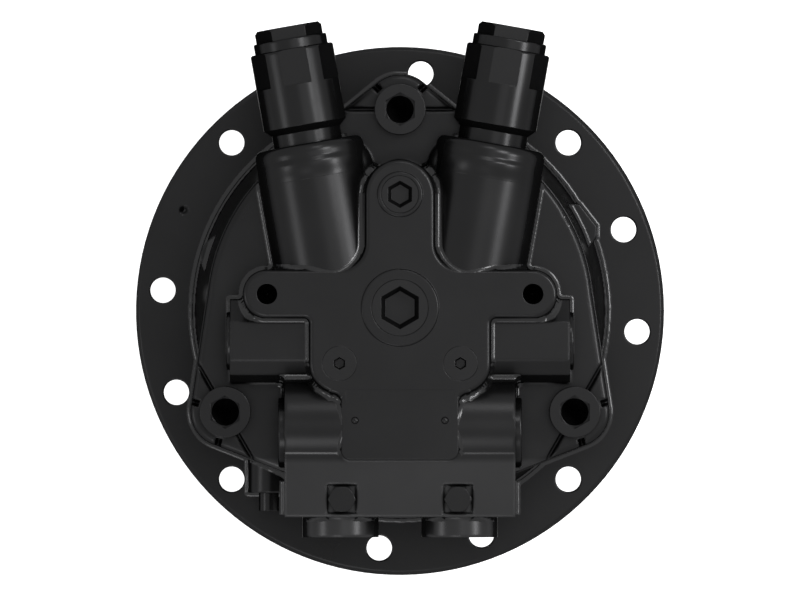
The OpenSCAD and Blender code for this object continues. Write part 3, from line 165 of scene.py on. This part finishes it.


def finish_of(name, colour, rough, metal=0.0, radius=1.0, grain=900.0, depth=0.02, rim=1.0, top_radius=None,
              deck_sheen=1.0):
    """One finish: its colour mottled and worn at the edges, its roughness broken up, and its skin as a bump.

    radius, top_radius and depth are in millimetres. rim tints the reflection at a glancing angle, and deck_sheen
    scales the colour on the port block's front flat: a painted sheen, lighter where that flat catches the light."""
    m = bpy.data.materials.new(name)
    m.use_nodes = True
    t = m.node_tree
    shader = t.nodes["Principled BSDF"]
    shader.inputs["Metallic"].default_value = metal
    shader.inputs["Specular Tint"].default_value = (rim, rim, rim, 1)
    skin = use(t, CAST, Grain_size=grain)
    edge = use(t, EDGES, Radius=radius * MM, Top_radius=(top_radius or radius) * MM)
    if rim < 1:
        shader.inputs["Specular IOR Level"].default_value = 0
    mottle = node(t, "ShaderNodeMix", data_type="RGBA")
    mottle.inputs[MIX_A].default_value = (*[c * DARKER for c in colour], 1)
    mottle.inputs[MIX_B].default_value = (*[min(1, c * LIGHTER) for c in colour], 1)
    t.links.new(skin.outputs["Mottle"], mottle.inputs[0])
    wear = node(t, "ShaderNodeMix", data_type="RGBA")
    wear.inputs[MIX_B].default_value = (*[min(1, c * WORN) for c in colour], 1)
    part = node(t, "ShaderNodeMath", operation="MULTIPLY")
    part.inputs[1].default_value = WEAR_SHARE
    t.links.new(edge.outputs["Edge"], part.inputs[0])
    t.links.new(part.outputs[0], wear.inputs[0])
    t.links.new(mottle.outputs[MIX_RESULT], wear.inputs[MIX_A])
    where = node(t, "ShaderNodeTexCoord")
    split = node(t, "ShaderNodeSeparateXYZ")
    # painted sheen: the colour is made lighter in front of the strip, on the port block's front flat
    deck_sheen_scale = node(t, "ShaderNodeMapRange", From_Min=DECK_FROM, From_Max=DECK_TO, To_Min=deck_sheen, To_Max=1.0)
    scale = node(t, "ShaderNodeVectorMath", operation="SCALE")
    t.links.new(where.outputs["Object"], split.inputs[0])
    t.links.new(split.outputs["Y"], deck_sheen_scale.inputs["Value"])
    t.links.new(wear.outputs[MIX_RESULT], scale.inputs[0])
    t.links.new(deck_sheen_scale.outputs["Result"], scale.inputs["Scale"])
    t.links.new(scale.outputs[0], shader.inputs["Base Color"])
    rough_map = node(t, "ShaderNodeMapRange", To_Min=rough - SMOOTHER, To_Max=rough + ROUGHER)
    t.links.new(skin.outputs["Mottle"], rough_map.inputs["Value"])
    t.links.new(rough_map.outputs["Result"], shader.inputs["Roughness"])
    bump = node(t, "ShaderNodeBump", Strength=BUMP_STRENGTH, Distance=depth * MM)
    t.links.new(skin.outputs["Height"], bump.inputs["Height"])
    t.links.new(edge.outputs["Normal"], bump.inputs["Normal"])
    t.links.new(bump.outputs["Normal"], shader.inputs["Normal"])
    return m


BLACK = (0.0195, 0.0195, 0.0199)
PLUG_BLACK = (0.0215, 0.0215, 0.0219)
# the fillets' black is lighter than the castings', a painted highlight along the cast inner corners
FILLET_BLACK_PAINTED_HIGHLIGHT = (0.034, 0.034, 0.0346)
SATIN = dict(metal=0.86, depth=0.01, rim=0.1)
FINISHES = {name: finish_of(name, colour, rough, **values) for name, colour, rough, values in (
    ("casing_paint", BLACK, 0.28, dict(SATIN, radius=1.6)),
    # the port block's front flat is painted 1.7 times as light, a painted sheen
    ("cover_paint", BLACK, 0.28, dict(SATIN, radius=2.6, top_radius=0.7, deck_sheen=1.7)),
    ("plug_paint", PLUG_BLACK, 0.28, dict(SATIN, metal=0.72, radius=0.5)),
    ("valve_black", BLACK, 0.24, dict(SATIN, radius=0.5, grain=1800, depth=0.003)),
    # the fillets' lighter colour is a painted highlight
    ("fillet_painted_highlight", FILLET_BLACK_PAINTED_HIGHLIGHT, 0.20, dict(SATIN, radius=0.2)),
    ("bead_paint", BLACK, 0.28, dict(SATIN, radius=0.2)),
    ("casting", (0.10, 0.10, 0.105), 0.5, dict(radius=0.8, depth=0.03)),
    ("steel", (0.55, 0.55, 0.56), 0.3, dict(metal=1.0, radius=0.3, grain=2500, depth=0.003)),
    ("bronze", (0.60, 0.40, 0.20), 0.35, dict(metal=1.0, radius=0.3, grain=2500, depth=0.003)),
    ("seal_rubber", (0.02, 0.02, 0.02), 0.6, dict(radius=0.3, depth=0.01)),
    ("friction_lining", (0.16, 0.12, 0.08), 0.8, dict(radius=0.3, grain=1500, depth=0.05)),
)}
PLUGS = ("centre_plug", "pad_plugs")
for part in frame["record"]["subparts"]:
    data = nodes[part["node"]].data
    data.materials.clear()
    data.materials.append(FINISHES["plug_paint" if part["node"] in PLUGS else part["material_slot"]])


# Cast fillets, in millimetres

FILLET_STEP = 0.4  # spacing of the grid in plan
RAY_START = 0.5  # metres above the origin
NOTHING = -90.0  # height given to a point where no casting is met
LOWEST = -80  # heights below this are no casting
FAR = 1e6
LEAST_RISE = 0.03  # a strip starts where the ball stands this far off the casting
LIFT = 0.015  # height of a strip over the face that it runs out on
TALLEST = 1.6  # the tallest quad of a strip, as a share of the ball's radius


def heights(name, xs, ys):
    """The casting's top surface over a grid, found by looking straight down on its mesh."""
    mesh = nodes[name].data
    place = nodes[name].matrix_world
    tree = BVHTree.FromPolygons([place @ v.co for v in mesh.vertices], [tuple(f.vertices) for f in mesh.polygons])
    down = Vector((0, 0, -1))
    out = np.full((len(ys), len(xs)), NOTHING)
    for j, y in enumerate(ys):
        for i, x in enumerate(xs):
            hit = tree.ray_cast(Vector((x * MM, y * MM, RAY_START)), down)[0]
            if hit:
                out[j, i] = hit.z / MM
    return out


def shifted(field, dx, dy, fill):
    """The field moved by whole steps, with the fill value beyond its edge."""
    out = np.full_like(field, fill)
    h, w = field.shape
    out[max(dy, 0):h + min(dy, 0), max(dx, 0):w + min(dx, 0)] = \
        field[max(-dy, 0):h + min(-dy, 0), max(-dx, 0):w + min(-dx, 0)]
    return out


def closed_by_ball(field, radius):
    """Rolling ball closing: z' = min over the ball of (max over the ball of (z + cap) - cap)."""
    reach = int(radius / FILLET_STEP)
    ball = [(dx, dy, math.sqrt(radius ** 2 - (dx * dx + dy * dy) * FILLET_STEP ** 2))
            for dx in range(-reach, reach + 1) for dy in range(-reach, reach + 1)
            if (dx * dx + dy * dy) * FILLET_STEP ** 2 < radius ** 2]
    top = np.full_like(field, -FAR)
    for dx, dy, cap in ball:
        top = np.maximum(top, shifted(field, dx, dy, -FAR) + cap)
    out = np.full_like(field, FAR)
    for dx, dy, cap in ball:
        out = np.minimum(out, shifted(top, dx, dy, FAR) - cap)
    return np.maximum(out, field)


def lowest_near(field):
    """The lowest of each point and its eight neighbours."""
    out = field
    for dx in (-1, 0, 1):
        for dy in (-1, 0, 1):
            out = np.minimum(out, shifted(field, dx, dy, FAR))
    return out


def smoothed(field, rounds=4, step=0.8):
    """Each point averaged with those neighbours that differ from it by less than the step."""
    for _ in range(rounds):
        total, count = field.copy(), np.ones_like(field)
        for dx in (-1, 0, 1):
            for dy in (-1, 0, 1):
                near = shifted(field, dx, dy, FAR)
                close = np.abs(near - field) < step
                total += np.where(close, near, 0)
                count += close
        field = total / count
    return field


def fillets(name, casting, radius, low, high, keep_out):
    """Strips that fill the casting's inner corners as a ball of that radius would: z = min of the closed
    height field and its lowest neighbour plus the radius, smoothed, where that rises off the casting.

    low and high are the corners of the area in plan, and keep_out holds circles (x, y, r) left free of strips."""
    xs = np.arange(low[0], high[0], FILLET_STEP)
    ys = np.arange(low[1], high[1], FILLET_STEP)
    plain = heights(casting, xs, ys)
    ball = closed_by_ball(plain, radius)
    rise = ball - plain
    gx, gy = np.meshgrid(xs, ys)
    free = np.ones_like(plain, bool)
    for x, y, r in keep_out:
        free &= (gx - x) ** 2 + (gy - y) ** 2 > r * r
    skin = np.minimum(ball, lowest_near(ball) + radius)
    skin = np.where(plain <= skin, np.maximum(smoothed(skin), plain) + LIFT, skin)
    strip = (rise > LEAST_RISE) & free & (plain > LOWEST)
    quads = strip[:-1, :-1] | strip[1:, :-1] | strip[:-1, 1:] | strip[1:, 1:]
    ok = free & (lowest_near(plain) > LOWEST)
    quads &= ok[:-1, :-1] & ok[1:, :-1] & ok[:-1, 1:] & ok[1:, 1:]
    four = np.stack([skin[:-1, :-1], skin[1:, :-1], skin[:-1, 1:], skin[1:, 1:]])
    quads &= four.max(axis=0) - four.min(axis=0) < TALLEST * radius
    rows, cols = np.nonzero(quads)
    w = len(xs)
    corner = rows * w + cols
    faces = np.stack([corner, corner + 1, corner + w + 1, corner + w], axis=1)
    used, faces = np.unique(faces, return_inverse=True)
    faces = faces.reshape(-1, 4)
    points = np.stack([gx.ravel()[used], gy.ravel()[used], skin.ravel()[used]], axis=1) * MM
    return piece(name, points.tolist(), faces.tolist(), FINISHES["fillet_painted_highlight"], smooth=True)


COVER_FILLET_R, CASING_FILLET_R = 3.0, 2.6
EAR_CIRCLE, EAR_CLEAR = 118.3, 34
EARS = [(EAR_CIRCLE * math.cos(math.radians(turn)), EAR_CIRCLE * math.sin(math.radians(turn)), EAR_CLEAR)
        for turn in (90, 210, 330)]
MIDDLE_PLUGS = [(0, 2, 26), (0, 68.3, 16)]
TAB_END = [(x, -87, 6) for x in range(-30, 31, 6)]
# one side's trunk plug, arm hole, rivet and gauge pocket
SIDE_OPENINGS = [(35.4, -30.6, 13), (77.8, 10, 9), (26.3, -63.9, 4), (34, -110, 14)]
BOTH_OPENINGS = [(side * x, y, r) for side in (-1, 1) for x, y, r in SIDE_OPENINGS]
# a row of circles along each relief valve housing's end face, whose line leans as the housing does
END_X, END_Y, END_CLEAR = 52.2, 88.9, 9
ALONG_X, ALONG_Y = 0.985, 0.174
HOUSING_ENDS = [(side * (END_X + ALONG_X * across), END_Y - ALONG_Y * across, END_CLEAR)
                for across in range(-22, 23, 4) for side in (-1, 1)]
COVER_CLEAR = EARS + MIDDLE_PLUGS + TAB_END + BOTH_OPENINGS + HOUSING_ENDS
cover_fillets = fillets("cover_fillets", "valve_cover", COVER_FILLET_R, (-125, -135), (125, 150), COVER_CLEAR)
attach(cover_fillets, BASE)
CASING_CLEAR = [(0, 0, 116), (-127.6, 59.2, 6)]  # the casing's inside and the dimple in its flange
casing_fillets = fillets("casing_fillets", "casing", CASING_FILLET_R, (-160, -160), (160, 160), CASING_CLEAR)
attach(casing_fillets, BASE)


# Rolled shoulders of the relief valve housings, in millimetres

HOUSING_R = 32.5
HOUSING_AXIS = (53.75, 97.8, 193.0)  # where the right housing's axis meets its end face
HOUSING_LEAN = 10
NECK_R = 20.3
CLEARANCE = 0.03  # how far the shoulder stands off the housing
ROLL_START, ROLL_END = -20.0, -7.0  # along the axis from the end face, minus inward
ROLL_RISE, ROLL_FALL = 9.2, 3.8
ROLL_HEIGHT = 1.1
NOSE_START, NOSE_LENGTH, NOSE_DEPTH = -5.0, 5.5, 4.0


def shoulder(name, side):
    """A soft roll and a rounded end on a housing, turned about its axis z, that fade out down its sides:
    r(z, a) = R + H cos(a)^2 e(u), with e(u) = (1 - cos(pi u)) / 2, where u goes from 0 to 1 over the rise,
    stays there, and goes back to 0 over the fall. From the nose's start a quarter ellipse runs round to
    just beyond the end face, z = start + length sin(t), r = R - depth (1 - cos(t)), and a flat face runs
    inward from it to the neck."""
    back = np.linspace(ROLL_START, NOSE_START, 76)
    share = np.clip(np.minimum((back - ROLL_START) / ROLL_RISE, (ROLL_END - back) / ROLL_FALL), 0, 1)
    rolls = ROLL_HEIGHT / 2 * (1 - np.cos(np.pi * share))
    turn = np.radians(np.linspace(0, 90, 20))[1:]
    front = NOSE_START + NOSE_LENGTH * np.sin(turn)
    over = HOUSING_R + CLEARANCE - NOSE_DEPTH * (1 - np.cos(turn))
    z = np.concatenate([back, front, [NOSE_START + NOSE_LENGTH]])
    plain = np.concatenate([np.full(len(back), HOUSING_R + CLEARANCE), over, [NECK_R]])
    plain[0] = HOUSING_R - CLEARANCE
    extra = np.concatenate([rolls, np.zeros(len(turn) + 1)])
    around = np.radians(np.linspace(-80, 80, 121))
    r = plain[:, None] + extra[:, None] * np.cos(around)[None] ** 2
    lean = math.radians(HOUSING_LEAN)
    axis = np.array([side * math.sin(lean), math.cos(lean), 0])
    across = np.array([math.cos(lean), -side * math.sin(lean), 0])
    start = np.array([side * HOUSING_AXIS[0], HOUSING_AXIS[1], HOUSING_AXIS[2]])
    ring = np.sin(around)[:, None] * across + np.cos(around)[:, None] * np.array([0, 0, 1.0])
    points = (start + z[:, None, None] * axis + r[:, :, None] * ring[None]) * MM
    n = len(around)
    faces = [(i * n + j, i * n + j + 1, (i + 1) * n + j + 1, (i + 1) * n + j)
             for i in range(len(z) - 1) for j in range(n - 1)]
    obj = piece(name, points.reshape(-1, 3).tolist(), faces, FINISHES["bead_paint"], smooth=True)
    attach(obj, BASE)


shoulder("housing_shoulder_left", -1)
shoulder("housing_shoulder_right", 1)


# Springs, copied as merged meshes

def spring(name, source, side=0):
    """A copy of a node's springs with its shared points merged, attached to the housing in place of the hidden
    node:
    those on one side, -1 for the left and 1 for the right, or all of them for 0."""
    data = nodes[source].data
    points = np.array([v.co for v in data.vertices])
    faces = [tuple(f.vertices) for f in data.polygons if side * sum(points[i][0] for i in f.vertices) >= 0]
    used, flat = np.unique([i for f in faces for i in f], return_inverse=True)
    merged, same = np.unique(points[used].round(7), axis=0, return_inverse=True)
    corners = same.ravel()[flat.ravel()].tolist()
    ends = np.cumsum([len(f) for f in faces])
    kept = [corners[end - len(f):end] for f, end in zip(faces, ends)]
    obj = piece(name, merged.tolist(), [f for f in kept if len(set(f)) == len(f)], FINISHES["steel"])
    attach(obj, BASE)
    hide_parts(source)
    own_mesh(obj)


spring("brake_spring_set", "brake_springs")
for side, word in ((-1, "left"), (1, "right")):
    spring(f"relief_spring_{word}", "relief_springs", side)
    spring(f"check_spring_{word}", "check_springs", side)


# Floor, light and camera

FLOOR_REACH = 9
FLOOR_LEVEL = -0.0755  # half a millimetre under the end of the shaft
MIDDLE = Vector((0, 0, 0.15))
LAMP_REACH = 1.7
LENS, SENSOR = 1200, 36
VIEW_WIDTH, VIEW_LEVEL = 0.4715, 0.1  # the frame spans this width at this height
VIEW_Y = 0.0065


def seen_rays(tree):
    """One for a ray from the camera, a reflection or a refraction, and zero for the light on a surface."""
    path = node(tree, "ShaderNodeLightPath")
    first = node(tree, "ShaderNodeMath", operation="MAXIMUM")
    both = node(tree, "ShaderNodeMath", operation="MAXIMUM")
    tree.links.new(path.outputs["Is Camera Ray"], first.inputs[0])
    tree.links.new(path.outputs["Is Transmission Ray"], first.inputs[1])
    tree.links.new(first.outputs[0], both.inputs[0])
    tree.links.new(path.outputs["Is Glossy Ray"], both.inputs[1])
    return both.outputs[0]


def white_where_seen(tree, out, shader, share):
    """Adds white light to what the camera, a reflection or a refraction sees, and leaves the shadow on it."""
    level = node(tree, "ShaderNodeMath", operation="MULTIPLY")
    level.inputs[1].default_value = share
    glow = node(tree, "ShaderNodeEmission")
    both = node(tree, "ShaderNodeAddShader")
    tree.links.new(seen_rays(tree), level.inputs[0])
    tree.links.new(level.outputs[0], glow.inputs["Strength"])
    tree.links.new(shader, both.inputs[0])
    tree.links.new(glow.outputs[0], both.inputs[1])
    tree.links.new(both.outputs[0], out.inputs["Surface"])


pale = bpy.data.materials.new("pale_floor")
pale.use_nodes = True
ground = pale.node_tree.nodes["Principled BSDF"]
ground.inputs["Base Color"].default_value = (0.85, 0.85, 0.85, 1)
ground.inputs["Roughness"].default_value = 0.9
white_where_seen(pale.node_tree, pale.node_tree.nodes["Material Output"], ground.outputs[0], 0.9)
corners = [(x * FLOOR_REACH, y * FLOOR_REACH, FLOOR_LEVEL) for x, y in ((-1, -1), (1, -1), (1, 1), (-1, 1))]
floor = piece("floor", corners, [(0, 1, 2, 3)], pale)

world = bpy.data.worlds.new("studio")
bpy.context.scene.world = world
world.use_nodes = True
back = world.node_tree.nodes["Background"]
back.inputs["Color"].default_value = (1, 1, 1, 1)
sky = node(world.node_tree, "ShaderNodeMapRange", To_Min=0.5, To_Max=1.0)
world.node_tree.links.new(seen_rays(world.node_tree), sky.inputs["Value"])
world.node_tree.links.new(sky.outputs["Result"], back.inputs["Strength"])


def lamp(name, elevation, azimuth, size, watts):
    """A square soft box at LAMP_REACH metres that looks at the middle: elevation and azimuth in degrees."""
    up, turn = math.radians(elevation), math.radians(azimuth)
    way = Vector((math.cos(up) * math.cos(turn), math.cos(up) * math.sin(turn), math.sin(up)))
    data = bpy.data.lights.new(name, "AREA")
    data.size = size
    data.energy = watts
    obj = bpy.data.objects.new(name, data)
    obj.location = MIDDLE + way * LAMP_REACH
    obj.rotation_mode = "QUATERNION"
    obj.rotation_quaternion = (-way).to_track_quat("-Z", "Y")
    bpy.context.scene.collection.objects.link(obj)


lamp("key_right", 41, 4, 0.34, 9)
lamp("high_right", 54, 34, 0.40, 10)
lamp("back", 46, 80, 0.35, 3.0)
lamp("side_left", 35, 192, 0.40, 2.8)
lamp("front_left", 54, 255, 0.50, 4.0)
lamp("top", 80, 20, 0.60, 1.0)

eye = bpy.data.cameras.new("camera")
eye.lens, eye.sensor_width = LENS, SENSOR
eye.clip_start, eye.clip_end = 1, 60
camera = bpy.data.objects.new("camera", eye)
camera.location = (0, VIEW_Y, VIEW_LEVEL + VIEW_WIDTH * LENS / SENSOR)
bpy.context.scene.collection.objects.link(camera)
bpy.context.scene.camera = camera

bpy.context.scene.view_settings.view_transform = "Standard"
